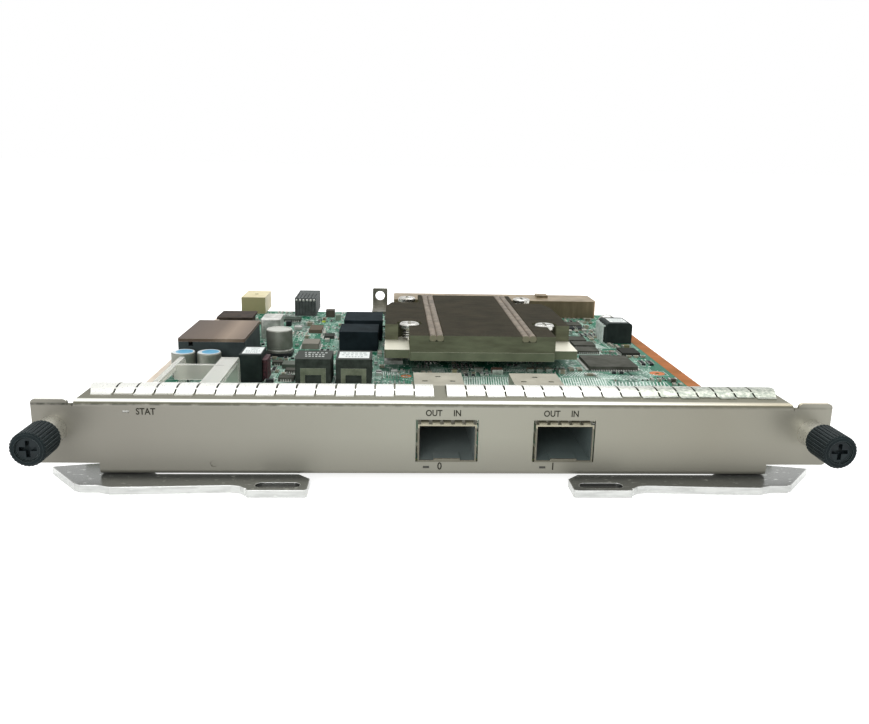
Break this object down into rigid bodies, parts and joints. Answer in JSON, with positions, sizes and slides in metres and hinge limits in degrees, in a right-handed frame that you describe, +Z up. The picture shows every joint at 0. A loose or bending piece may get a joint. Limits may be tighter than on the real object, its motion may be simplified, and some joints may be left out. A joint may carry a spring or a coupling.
{
  "type": "switch line card",
  "caption": "Plug-in line card: folded front panel with finger gaskets, captive thumbscrews and ejector levers, a board with port cages, cooler and rear connectors.",
  "frame": {"origin": "middle of the base, level with the underside of the levers", "axes": "+X to the right along the panel seen from the front, +Y back from the panel along the board, +Z up"},
  "size_m": [0.198, 0.2305, 0.0222],
  "materials": {
    "panel_steel": "satin warm grey plated sheet steel",
    "gasket_steel": "bright spring steel strip",
    "plated_steel": "bright plated steel",
    "knob_black": "black fluted knob, satin",
    "screw_dark": "dark steel screw",
    "spring_steel": "drawn spring wire",
    "lever_zinc": "polished plated die casting",
    "board_green": "glass epoxy laminate with green solder mask",
    "cage_metal": "plated folded sheet",
    "connector_black": "black moulded connector",
    "clear_plastic": "clear moulded polycarbonate",
    "cooler_aluminium": "machined aluminium",
    "fin_dark": "dark plated folded fins",
    "pipe_copper": "nickel tinted copper heat pipes",
    "chip_epoxy": "dark epoxy chip package",
    "lid_metal": "nickel plated lid",
    "pad_grey": "grey thermal pad",
    "brick_black": "black potted module",
    "brick_plate": "brown grey anodised plate",
    "converter_dark": "dark moulded module",
    "can_blue_top": "drawn aluminium can with a blue printed top",
    "can_aluminium": "drawn aluminium can",
    "can_base_black": "black moulded base",
    "transformer_black": "black moulded transformer",
    "winding_copper": "red brown wrapped winding",
    "ferrite_black": "black pressed ferrite",
    "clip_olive": "tinned copper clip",
    "module_blue": "dark blue moulded module",
    "parts_ceramic": "ceramic bodies with tinned ends",
    "connector_cream": "cream moulded connector",
    "connector_ribbed": "dark grey moulded connector",
    "shield_bronze": "bronze toned sheet",
    "backplane_grey": "grey moulded connector",
    "bracket_zinc": "zinc plated steel"
  },
  "bodies": {
    "root": {"front_panel": "panel_steel", "gasket_left": "gasket_steel", "gasket_right": "gasket_steel", "sleeve_left": "plated_steel", "sleeve_right": "plated_steel", "screw_spring_left": "spring_steel", "screw_spring_right": "spring_steel", "lever_pins": "plated_steel", "board_spacers": "plated_steel", "board_screws": "plated_steel", "circuit_board": "board_green", "port_cage_0": "cage_metal", "port_cage_1": "cage_metal", "port_connector_0": "connector_black", "port_connector_1": "connector_black", "light_pipe": "clear_plastic", "port_lamps": "clear_plastic", "cooler_base": "cooler_aluminium", "cooler_fins": "fin_dark", "heat_pipe_left": "pipe_copper", "heat_pipe_right": "pipe_copper", "cooler_screws": "plated_steel", "cooler_springs": "spring_steel", "cooler_back_plate": "plated_steel", "main_chip": "chip_epoxy", "main_chip_lid": "lid_metal", "thermal_pad": "pad_grey", "power_brick": "brick_black", "power_brick_plate": "brick_plate", "rear_converter": "converter_dark", "small_cans": "can_blue_top", "large_can": "can_aluminium", "large_can_base": "can_base_black", "shielded_choke": "can_aluminium", "labelled_transformer": "transformer_black", "transformer_winding": "winding_copper", "output_choke_left": "ferrite_black", "output_choke_right": "ferrite_black", "choke_clips": "clip_olive", "blue_module_front": "module_blue", "blue_module_rear": "module_blue", "side_transformer": "transformer_black", "side_transformer_pins": "plated_steel", "round_choke": "can_aluminium", "control_chip": "chip_epoxy", "small_chips": "chip_epoxy", "small_parts": "parts_ceramic", "power_connector": "connector_cream", "signal_connector": "connector_ribbed", "rear_shield": "shield_bronze", "backplane_connectors": "backplane_grey", "guide_bracket": "bracket_zinc"},
    "left_carrier": {"screw_ring_left": "plated_steel"},
    "left_thumbscrew": {"screw_left": "screw_dark", "knob_left": "knob_black"},
    "right_carrier": {"screw_ring_right": "plated_steel"},
    "right_thumbscrew": {"screw_right": "screw_dark", "knob_right": "knob_black"},
    "left_lever": {"lever_left": "lever_zinc"},
    "right_lever": {"lever_right": "lever_zinc"}
  },
  "joints": [
    {"name": "left_screw_push", "type": "slide", "parent": "root", "child": "left_carrier", "axis": [0, 1, 0], "range_m": [0, 0.004], "stiffness_N_per_m": 300, "springref_m": -0.004, "deforming": ["screw_spring_left"]},
    {"name": "left_screw_turn", "type": "hinge", "parent": "left_carrier", "child": "left_thumbscrew", "pos_m": [-0.0943, -0.10075, 0.0138], "axis": [0, 1, 0], "continuous": true},
    {"name": "left_lever_swing", "type": "hinge", "parent": "root", "child": "left_lever", "pos_m": [-0.0804, -0.09535, 0.002], "axis": [0, 0, -1], "range_deg": [0, 60]},
    {"name": "right_screw_push", "type": "slide", "parent": "root", "child": "right_carrier", "axis": [0, 1, 0], "range_m": [0, 0.004], "stiffness_N_per_m": 300, "springref_m": -0.004, "deforming": ["screw_spring_right"]},
    {"name": "right_screw_turn", "type": "hinge", "parent": "right_carrier", "child": "right_thumbscrew", "pos_m": [0.0943, -0.10075, 0.0138], "axis": [0, 1, 0], "continuous": true},
    {"name": "right_lever_swing", "type": "hinge", "parent": "root", "child": "right_lever", "pos_m": [0.0804, -0.09535, 0.002], "axis": [0, 0, 1], "range_deg": [0, 60]}
  ]
}
